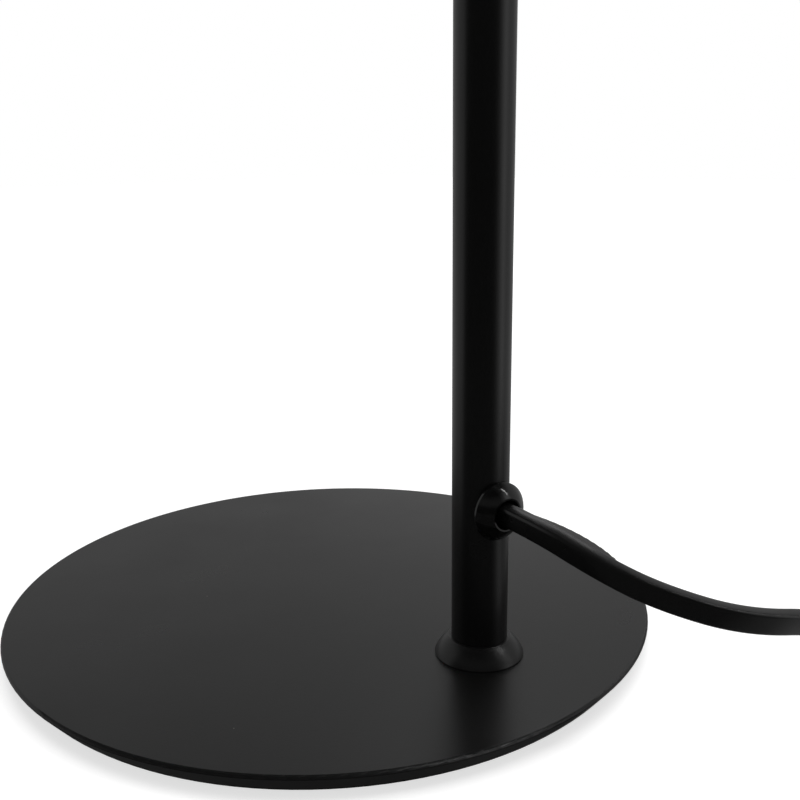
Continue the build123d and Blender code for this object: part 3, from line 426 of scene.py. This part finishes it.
route = [exit_centre + exit_direction * distance for distance in (bushing_inside, cord_straight)]
route += [Vector(point) * mm for point in fall_points]
route += coil_points()
route += [Vector(point) * mm for point in plug_points]
cord_line = smooth_line("cord_route", route)
cord_outline = flat_section(cord_width, cord_thickness, cord_corner)
flex_cord = sweep_section("flex_cord", cord_line, cord_outline, cord_twist)
finish_skin(flex_cord, cord_crease)
flex_cord.data.materials.append(extruded_pvc("cord_pvc", "#0c0c0c", 0.24))
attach(flex_cord, "root")
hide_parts("mains_cord", "cord_coil", "plug_cord")

# Plug
# A flat two-pin plug, moulded in soft black PVC on the end of the cord. Its tail is ribbed so that
# it bends easily and its sides have grip bars. Its pins are nickel-plated brass in black sleeves.
plug_entry = Vector(plug_points[-1]) * mm
plug_heading = plug_entry - Vector(plug_points[-2]) * mm
plug_heading.z = 0.0
plug_heading.normalize()
plug_place = Matrix.Translation(plug_entry) @ Matrix(
    (  # the plug is built with its Y up and its pins along Z
        (*plug_heading.cross(Vector((0, 0, 1))), 0.0),
        (0.0, 0.0, 1.0, 0.0),
        (*plug_heading, 0.0),
        (0.0, 0.0, 0.0, 1.0),
    )
).transposed()
plug_front = 42.0 * mm
plug_block = 8.0 * mm
plug_width = 35.3 * mm
plug_thickness = 13.7 * mm
plug_corner = 5.5 * mm
plug_edge = 0.7 * mm
plug_bevel_limit = radians(50)
plug_crease = radians(35)
tail_steps = [(14.0, 13.2, 10.4), (3.0, 12.2, 10.0)]  # length, width and thickness, in millimetres
rib_count = 5
rib_length = 1.5 * mm
rib_swell = 1.12
rib_taper = 0.955  # each rib's size against the one before it
groove_length = 1.1 * mm
groove_slope = 0.25 * mm
bar_count = 4
bar_depth = 1.4 * mm
bar_height = 1.2 * mm
bar_corner = 0.45 * mm
bar_start = 1.6 * mm
bar_pitch = 2.4 * mm
bar_length_share = 0.50  # of the plug's width, and less for each bar
bar_length_loss = 0.06
bar_place_share = 0.445  # of the plug's thickness, and less for each bar
bar_place_loss = 0.012


def select_faces(piece, wanted):
    """In edit mode, selects the faces that a test on their normal picks."""
    bpy.ops.mesh.select_all(action="DESELECT")
    bpy.ops.object.mode_set(mode="OBJECT")
    for face in piece.data.polygons:
        face.select = wanted(face.normal)
    bpy.ops.object.mode_set(mode="EDIT")
    bpy.ops.mesh.select_mode(type="FACE")


def grow(length, width_share, thickness_share, height):
    """Extrudes the selected end down by a length, to a height, and scales it across."""
    bpy.ops.mesh.extrude_region_move(TRANSFORM_OT_translate={"value": (0.0, 0.0, -length)})
    shares = (width_share, thickness_share, 1.0)
    bpy.ops.transform.resize(value=shares, center_override=(0.0, 0.0, height))


def block(size, place):
    """A block at its size and place."""
    bpy.ops.object.select_all(action="DESELECT")
    bpy.ops.mesh.primitive_cube_add(size=1.0)
    piece = bpy.context.object
    piece.scale = size
    piece.location = place
    bpy.ops.object.transform_apply(location=True, rotation=False, scale=True)
    return piece


def round_edges(piece, width, segments, **settings):
    """Bevels a piece's edges, all of them or as the settings limit it."""
    select_only(piece)
    rounding = piece.modifiers.new("rounding", "BEVEL")
    rounding.width = width
    rounding.segments = segments
    for name, value in settings.items():
        setattr(rounding, name, value)
    bpy.ops.object.modifier_apply(modifier="rounding")


def join(pieces):
    """Joins pieces into the first one."""
    select_only(pieces[0])
    for piece in pieces[1:]:
        piece.select_set(True)
    bpy.ops.object.join()
    return pieces[0]


def moulded_pvc(name):
    """Soft PVC from a spark-eroded mould: satin, with a fine matt grain about 0.5 mm across."""
    return grained(name, ("#101010", "#161616"), (0.44, 0.54), (0.5, 0.02), 8.0, IOR=1.53)


def nickel_plating(name):
    """Nickel on turned brass: a warm, bright metal with fine rub marks from the socket."""
    return grained(name, ("#b9b2a2", "#cdc8bb"), (0.14, 0.26), (0.25, 0.004), 3.0, Metallic=1.0)


plug = block((plug_width, plug_thickness, plug_block), (0.0, 0.0, plug_front - plug_block / 2))
plug.name = "plug_moulding"
bpy.ops.object.mode_set(mode="EDIT")
bpy.ops.mesh.select_mode(type="EDGE")
bpy.ops.mesh.select_all(action="DESELECT")
bpy.ops.object.mode_set(mode="OBJECT")
for edge in plug.data.edges:
    first, second = [plug.data.vertices[k].co for k in edge.vertices]
    edge.select = abs(first.z - second.z) > plug_block / 2
bpy.ops.object.mode_set(mode="EDIT")
bpy.ops.mesh.bevel(offset=plug_corner, segments=6, affect="EDGES")
select_faces(plug, lambda normal: normal.z < -0.9)
end_height = plug_front - plug_block
end_width, end_thickness = plug_width / mm, plug_thickness / mm
for length, next_width, next_thickness in tail_steps:
    end_height -= length * mm
    grow(length * mm, next_width / end_width, next_thickness / end_thickness, end_height)
    end_width, end_thickness = next_width, next_thickness
rib_steps = [
    (groove_slope, 1 / rib_swell),
    (groove_length, 1.0),
    (groove_slope, rib_swell * rib_taper),
    (rib_length, 1.0),
]
for length, swell in rib_steps * rib_count:
    end_height -= length
    grow(length, swell, swell, end_height)
bpy.ops.object.mode_set(mode="OBJECT")
round_edges(plug, plug_edge, segments=3, limit_method="ANGLE", angle_limit=plug_bevel_limit)
grip_bars = []
for side in (1, -1):
    for k in range(bar_count):
        bar_size = (plug_width * (bar_length_share - bar_length_loss * k), bar_depth, bar_height)
        bar_side = side * plug_thickness * (bar_place_share - bar_place_loss * k)
        bar_back = plug_front - plug_block - bar_start - bar_pitch * k
        bar = block(bar_size, (0.0, bar_side, bar_back))
        round_edges(bar, bar_corner, segments=3)
        grip_bars.append(bar)
join([plug, *grip_bars])
plug.data.transform(plug_place)
finish_skin(plug, plug_crease)
plug_pvc = moulded_pvc("plug_pvc")
plug.data.materials.append(plug_pvc)
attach(plug, "root")
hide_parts("plug_body")
dress(plug_pvc, "pin_sleeves")
dress(nickel_plating("pin_nickel"), "plug_pins")

# Leads inside the post, the arm and the head
# Two fine cores in a soft white PVC sleeve, dull and a little translucent.


def lead_pvc(name):
    """Thin white PVC sleeve, dull, with the soft ripple of the cores under it."""
    return grained(
        name,
        ("#cfcdc6", "#dddbd5"),
        (0.5, 0.6),
        (1.8, 0.05),
        12.0,
        IOR=1.53,
        Subsurface_Weight=0.15,
        Subsurface_Scale=0.001,
    )


dress(lead_pvc("lead_pvc"), "post_lead", "arm_lead", "head_lead")

# Spindle
# A turned brass spindle pressed into the top of the post. The tool leaves fine rings round it,
# which stretch each highlight along the axis.


def turned_brass(name):
    """Brass off the lathe: a golden metal with rings 2.2 mm apart, far coarser than a real feed."""
    ring_pitch = 2.2 * mm
    ring_depth = 0.004 * mm
    rings_per_unit = 20 / (2 * pi)  # how many rings a wave of scale 1 has in one unit
    material, tree = new_material(name)
    place = add_node(tree, "ShaderNodeTexCoord").outputs["Object"]
    rings = add_node(
        tree,
        "ShaderNodeTexWave",
        {"Scale": 1 / (ring_pitch * rings_per_unit), "Distortion": 0.4, "Detail": 2.0},
        {"Vector": place},
        bands_direction="Z",
    )
    bump = add_node(
        tree,
        "ShaderNodeBump",
        {"Strength": 0.6, "Distance": ring_depth},
        {"Height": rings.outputs["Fac"]},
    )
    links = {
        "Base Color": mottled(tree, place, 6 * mm, "#b08d4f", "#c29f5f"),
        "Roughness": drifting(tree, place, 5 * mm, 0.2, 0.32),
        "Normal": bump.outputs["Normal"],
    }
    surface(tree, {"Metallic": 1.0}, links)
    return material


dress(turned_brass("spindle_turned_brass"), "post_spindle")

# Thrust washer and friction washers
# Punched from natural nylon sheet: milky, waxy to the eye, with the faint grain of the sheet.


def natural_nylon(name):
    """Unfilled nylon: a milky, waxy white that lets a little light in."""
    return grained(
        name,
        ("#cbc5b4", "#d9d4c5"),
        (0.4, 0.52),
        (0.6, 0.01),
        5.0,
        IOR=1.53,
        Subsurface_Weight=0.2,
        Subsurface_Scale=0.001,
    )


nylon = natural_nylon("washer_nylon")
dress(nylon, "thrust_washer", "arm_friction_washers", "head_friction_washers")

# Swivel hub, arm and neck
# Turned and milled aluminium, sprayed with the same black powder as the post. The coat is thinner
# here, so its peel is finer and its gloss a touch lower.
arm_coat = powder_coat("arm_powder_coat", "#0c0c0c", 0.33, peel_size=0.6)
dress(arm_coat, "swivel_hub", "hub_cap", "arm_knuckle", "arm_tube", "tip_fork", "head_neck")

# Hinge bolts, nuts and small screws
# Socket-head steel hardware with a black oxide finish, a dark grey conversion layer with oil in it,
# rubbed a little bright where keys and fingers touch it.


def black_oxide(name):
    """Blackened steel: a dark, oily metal with paler rubbed clouds about 1.5 mm across."""
    return grained(name, ("#1b1b1d", "#38383a"), (0.34, 0.50), (0.3, 0.008), 1.5, Metallic=1.0)


hardware = black_oxide("black_oxide_steel")
dress(hardware, "stop_screw", "arm_hinge_bolt", "arm_hinge_nut", "arm_grub_screws")
dress(hardware, "head_hinge_bolt", "head_hinge_nut", "neck_screws")

# Lamp housing and bezel ring
# A die-cast aluminium dish with cooling fins, and a turned ring that holds the diffuser. The
# casting keeps a slightly rougher skin under its powder than the turned pieces do.
dress(powder_coat("casting_powder_coat", "#0d0d0d", 0.37, peel_size=1.0), "lamp_housing")
dress(powder_coat("bezel_powder_coat", "#0c0c0c", 0.31, peel_size=0.6), "bezel_ring")

# LED board and its chips
# An aluminium board under white solder mask, with thirty-six ceramic packages in three rings. Each
# package holds a yellow phosphor pad under a drop of clear silicone.
pad_size = 2.2 * mm
pad_height = 0.25 * mm
pad_corner = 0.1 * mm
chip_rings = [(12.0, 6), (21.0, 12), (30.0, 18)]  # radius in millimetres, and chips on it
chips_low, chips_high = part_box("led_chips")
rings_centre = (chips_low + chips_high) / 2
rings_centre.z = chips_low.z - pad_height / 2


def solder_mask(name):
    """White solder mask: an even, semi-gloss lacquer with a faint weave showing through."""
    return grained(name, ("#dddeda", "#e8e9e6"), (0.3, 0.38), (0.5, 0.006), 10.0, IOR=1.5)


def white_ceramic(name):
    """The chips' packages: a dense, matt white ceramic with a very fine grain."""
    return grained(name, ("#dcd9cf", "#e6e3da"), (0.42, 0.5), (0.3, 0.004), 2.0, IOR=1.6)


def phosphor(name):
    """Yellow phosphor in silicone: a saturated, slightly grainy yellow under a clear gloss."""
    shades = ("#c9a11e", "#dcb735")
    return grained(name, shades, (0.3, 0.4), (0.2, 0.01), 0.6, IOR=1.41, Coat_Weight=0.6)


dress(solder_mask("board_solder_mask"), "led_board")
dress(white_ceramic("chip_ceramic"), "led_chips")
first_pad = block((pad_size, pad_size, pad_height), (0.0, 0.0, 0.0))
round_edges(first_pad, pad_corner, segments=2)
pads = []
for ring_radius, count in chip_rings:
    for k in range(count):
        pad = first_pad.copy()
        pad.data = first_pad.data.copy()
        bpy.context.scene.collection.objects.link(pad)
        turned = Matrix.Rotation(k * 2 * pi / count, 4, "Z")
        outwards = Matrix.Translation((ring_radius * mm, 0.0, 0.0))
        pad.data.transform(Matrix.Translation(rings_centre) @ turned @ outwards)
        pads.append(pad)
bpy.data.objects.remove(first_pad)
phosphor_pads = join(pads)
phosphor_pads.name = "phosphor_pads"
phosphor_pads.data.materials.append(phosphor("chip_phosphor"))
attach(phosphor_pads, "head")

# Diffuser
# A disc of opal acrylic, cast with a white pigment that hides the chips and spreads their light.
# Its face is satin, so that it doesn't mirror the table.


def opal_acrylic(name):
    """Opal acrylic: milky white, satin, with light that spreads a few millimetres inside it."""
    return grained(
        name,
        ("#eeeeea", "#f0f0ed"),
        (0.32, 0.36),
        (0.5, 0.004),
        14.0,
        IOR=1.49,
        Subsurface_Weight=0.35,
        Subsurface_Scale=0.003,
    )


dress(opal_acrylic("opal_acrylic"), "diffuser")

# Driver, switch body and button
# The driver is potted in a tray of flame-retardant ABS, like the switch's body. The button is a
# satin ABS moulding that shows in the land on top of the head.


def driver_abs(name):
    """Flame-retardant ABS: a dull charcoal with the flow marks of a cheap mould."""
    return grained(name, ("#2b2b2d", "#363638"), (0.5, 0.62), (0.9, 0.02), 7.0, IOR=1.53)


def button_abs(name):
    """ABS from a fine-textured mould: satin, with a grain about 0.35 mm across."""
    return grained(name, ("#151515", "#1b1b1b"), (0.36, 0.44), (0.35, 0.012), 5.0, IOR=1.53)


dress(driver_abs("driver_abs"), "driver_module", "switch_body")
dress(button_abs("button_abs"), "switch_button")

# Table top
# A plain white board that the lamp stands on. The camera sees it white with the lamp's soft shadow.
# In the lamp's gloss the board shows a painted reflection, an emission that only glossy rays see:
# the studio's ring painted on it, dark towards the camera as a black card there would make it,
# bright at its right.
camera_heading = radians(-51.5)
table_size = 8.0
room_level = 0.37
card_level = 0.015
strip_level = 0.9
backdrop_level = 1.0
ring_stops = [  # degrees from the camera's side, and brightness
    (-158, room_level),
    (-92, room_level),
    (-80, 0.40),
    (-68, card_level),
    (48, card_level),
    (64, 0.30),
    (76, strip_level),
    (86, strip_level),
    (98, room_level),
    (158, room_level),
]
# each of these goes from one level to another between two distances from the post, in metres
# painted shade: the ring painted on the board for reflections is dimmer near the post
painted_reflection_share = {"From Min": 0.06, "From Max": 0.35, "To Min": 0.3, "To Max": 1.0}
seen_whiteness = {"From Min": 0.25, "From Max": 1.2, "To Min": 0.66, "To Max": 1.0}
# painted glow: within 0.3 m of the post the board's reflection is lifted a little, gone by 0.65 m
painted_foot_glow_levels = {"From Min": 0.30, "From Max": 0.65, "To Min": 0.038, "To Max": 0.0}


def studio_ring(tree, direction, behind):
    """The brightness of the studio by direction: even, with a black card and a strip at its right.

    Behind is the brightness straight across from the camera.
    """
    stops = [(-180, behind), *ring_stops, (180, behind)]
    facing = add_node(
        tree, "ShaderNodeMapping", {"Rotation": (0.0, 0.0, -camera_heading)}, {"Vector": direction}
    )
    around = add_node(
        tree,
        "ShaderNodeTexGradient",
        links={"Vector": facing.outputs["Vector"]},
        gradient_type="RADIAL",
    )
    ring = add_node(tree, "ShaderNodeValToRGB", links={"Fac": around.outputs["Fac"]})
    ramp = ring.color_ramp
    ramp.interpolation = "EASE"
    while len(ramp.elements) < len(stops):
        ramp.elements.new(0.5)
    for element, (heading, level) in zip(ramp.elements, stops):
        element.position = 0.5 + heading / 360
        element.color = (level, level, level, 1.0)
    return ring.outputs["Color"]


def table_board(name):
    """Board that is white to the eye, more so far off; reflections see the ring painted on it."""
    material, tree = new_material(name)
    path = add_node(tree, "ShaderNodeLightPath")
    place = add_node(tree, "ShaderNodeTexCoord").outputs["Object"]
    centred = add_node(tree, "ShaderNodeMapping", {"Location": -post_centre}, {"Vector": place})
    from_post = centred.outputs["Vector"]
    distance = add_node(tree, "ShaderNodeVectorMath", links={0: from_post}, operation="LENGTH")
    by_distance = {"Value": distance.outputs["Value"]}
    share = add_node(tree, "ShaderNodeMapRange", painted_reflection_share, by_distance)
    whiteness = add_node(tree, "ShaderNodeMapRange", seen_whiteness, by_distance)
    painted_foot_strength = add_node(tree, "ShaderNodeMapRange", painted_foot_glow_levels, by_distance)
    ring = studio_ring(tree, from_post, backdrop_level)
    # painted reflection: the studio's ring glows on the board for glossy rays only, dimmer near the
    # post
    painted_ring_glow = add_node(
        tree, "ShaderNodeEmission", links={"Color": ring, "Strength": share.outputs["Result"]}
    )
    # painted glow near the foot of the post, seen only in reflections
    painted_foot_glow = add_node(
        tree, "ShaderNodeEmission", links={"Strength": painted_foot_strength.outputs["Result"]}
    )
    mirrored = add_node(
        tree,
        "ShaderNodeAddShader",
        links={0: painted_ring_glow.outputs["Emission"], 1: painted_foot_glow.outputs["Emission"]},
    )
    lit = add_node(tree, "ShaderNodeBsdfDiffuse", {"Color": linear("#e4e4e4")})
    shaded = add_node(tree, "ShaderNodeBsdfDiffuse", {"Color": linear("#c0c0c0")})
    glow = add_node(tree, "ShaderNodeEmission", links={"Strength": whiteness.outputs["Result"]})
    seen = add_node(
        tree,
        "ShaderNodeAddShader",
        links={0: shaded.outputs["BSDF"], 1: glow.outputs["Emission"]},
    )
    plain = add_node(
        tree,
        "ShaderNodeMixShader",
        links={0: path.outputs["Is Camera Ray"], 1: lit.outputs["BSDF"], 2: seen.outputs["Shader"]},
    )
    whole = add_node(
        tree,
        "ShaderNodeMixShader",
        links={
            0: path.outputs["Is Glossy Ray"],
            1: plain.outputs["Shader"],
            2: mirrored.outputs["Shader"],
        },
    )
    add_node(tree, "ShaderNodeOutputMaterial", links={"Surface": whole.outputs["Shader"]})
    return material


bpy.ops.object.select_all(action="DESELECT")
bpy.ops.mesh.primitive_plane_add(size=table_size, location=(0.0, 0.0, 0.0))
table = bpy.context.object
table.name = "table"
table.data.materials.append(table_board("table_board"))

# Room and lamps
# White for the camera and even for soft light. Reflections see the studio's ring, paler above the
# card and darker at the ceiling, a bright patch of backdrop behind, and two compact lamps.
wall_start = sin(radians(13))
wall_end = sin(radians(24))
wall_share = 0.25
ceiling_start = sin(radians(36))
ceiling_end = sin(radians(54))
ceiling_level = 0.15
patch_core = radians(8)
patch_edge = radians(14)
overhead_place = (0.05, 0.15, 1.30)
overhead_size = 1.2
overhead_brightness = 2.6
compact_distance = 1.0
compact_lamps = [  # name, degrees from the camera's side and up, width, height and brightness
    ("key", 90.0, 46.0, 0.045, 0.35, 9.0),
    ("rim", 168.0, 44.0, 0.50, 0.10, 2.4),
]


def studio_room(name):
    """A room that is white to the eye; in reflections it has walls, a ceiling and a backdrop."""
    world = bpy.data.worlds.new(name)
    world.use_nodes = True
    tree = world.node_tree
    tree.nodes.clear()
    path = add_node(tree, "ShaderNodeLightPath")
    direction = add_node(tree, "ShaderNodeTexCoord").outputs["Generated"]
    height = add_node(tree, "ShaderNodeSeparateXYZ", links={"Vector": direction}).outputs["Z"]
    raised = add_node(
        tree,
        "ShaderNodeMapRange",
        {"From Min": wall_start, "From Max": wall_end, "To Min": 0.0, "To Max": wall_share},
        {"Value": height},
    )
    walls = add_node(
        tree,
        "ShaderNodeMix",
        {"B": [room_level] * 3 + [1.0]},
        {"Factor": raised.outputs["Result"], "A": studio_ring(tree, direction, room_level)},
        data_type="RGBA",
    )
    dimming = {
        "From Min": ceiling_start,
        "From Max": ceiling_end,
        "To Min": 1.0,
        "To Max": ceiling_level,
    }
    ceiling = add_node(tree, "ShaderNodeMapRange", dimming, {"Value": height})
    ring = add_node(
        tree,
        "ShaderNodeBackground",
        links={"Color": walls.outputs[mixed_colour], "Strength": ceiling.outputs["Result"]},
    )
    away = add_node(
        tree,
        "ShaderNodeVectorMath",
        {1: (-cos(camera_heading), -sin(camera_heading), 0.0)},
        {0: direction},
        operation="DOT_PRODUCT",
    )
    brightening = {
        "From Min": cos(patch_edge),
        "From Max": cos(patch_core),
        "To Min": 0.0,
        "To Max": backdrop_level,
    }
    patch = add_node(tree, "ShaderNodeMapRange", brightening, {"Value": away.outputs["Value"]})
    patch_light = add_node(
        tree, "ShaderNodeBackground", links={"Strength": patch.outputs["Result"]}
    )
    mirrored = add_node(
        tree,
        "ShaderNodeAddShader",
        links={0: ring.outputs["Background"], 1: patch_light.outputs["Background"]},
    )
    white = linear("#ffffff")
    even = add_node(tree, "ShaderNodeBackground", {"Color": white, "Strength": room_level})
    lighting = add_node(
        tree,
        "ShaderNodeMixShader",
        links={
            0: path.outputs["Is Glossy Ray"],
            1: even.outputs["Background"],
            2: mirrored.outputs["Shader"],
        },
    )
    seen = add_node(tree, "ShaderNodeBackground", {"Color": white, "Strength": 1.0})
    whole = add_node(
        tree,
        "ShaderNodeMixShader",
        links={
            0: path.outputs["Is Camera Ray"],
            1: lighting.outputs["Shader"],
            2: seen.outputs["Background"],
        },
    )
    add_node(tree, "ShaderNodeOutputWorld", links={"Surface": whole.outputs["Shader"]})
    return world


def soft_lamp(name, place, target, width, height, brightness):
    """A rectangular lamp that faces a point. Brightness is its own, where 1 is white."""
    bpy.ops.object.light_add(type="AREA", location=place)
    lamp = bpy.context.object
    lamp.name = name
    lamp.data.shape = "RECTANGLE"
    lamp.data.size = width
    lamp.data.size_y = height
    lamp.data.energy = brightness * pi * width * height
    lamp.rotation_euler = (Vector(place) - Vector(target)).to_track_quat("Z", "Y").to_euler()
    lamp.visible_camera = False
    return lamp


bpy.context.scene.world = studio_room("room")
overhead = soft_lamp(
    "overhead", overhead_place, (0.0, 0.0, 0.0), overhead_size, overhead_size, overhead_brightness
)
overhead.visible_glossy = False
for lamp_name, turn, rise, width, height, brightness in compact_lamps:
    heading = camera_heading + radians(turn)
    rise = radians(rise)
    way = Vector((cos(heading) * cos(rise), sin(heading) * cos(rise), sin(rise)))
    lamp_place = exit_centre + way * compact_distance
    soft_lamp(lamp_name, lamp_place, exit_centre, width, height, brightness)

# Camera
# Where the photograph was taken from: 28 cm from the bushing, looking down by 14 degrees.
camera_place = Vector((227.66, -207.31, 148.62)) * mm
camera_turn = radians(43.26)
camera_tilt = radians(90.0 - 14.10)
camera_roll = radians(-0.61)
camera_data = bpy.data.cameras.new("camera")
camera = bpy.data.objects.new("camera", camera_data)
bpy.context.scene.collection.objects.link(camera)
camera_data.lens = 45.0
camera_data.sensor_width = 36.0
camera.matrix_world = (
    Matrix.Translation(camera_place)
    @ Matrix.Rotation(camera_turn, 4, "Z")
    @ Matrix.Rotation(camera_tilt, 4, "X")
    @ Matrix.Rotation(camera_roll, 4, "Z")
)
bpy.context.scene.camera = camera
bpy.context.scene.view_settings.view_transform = "Standard"
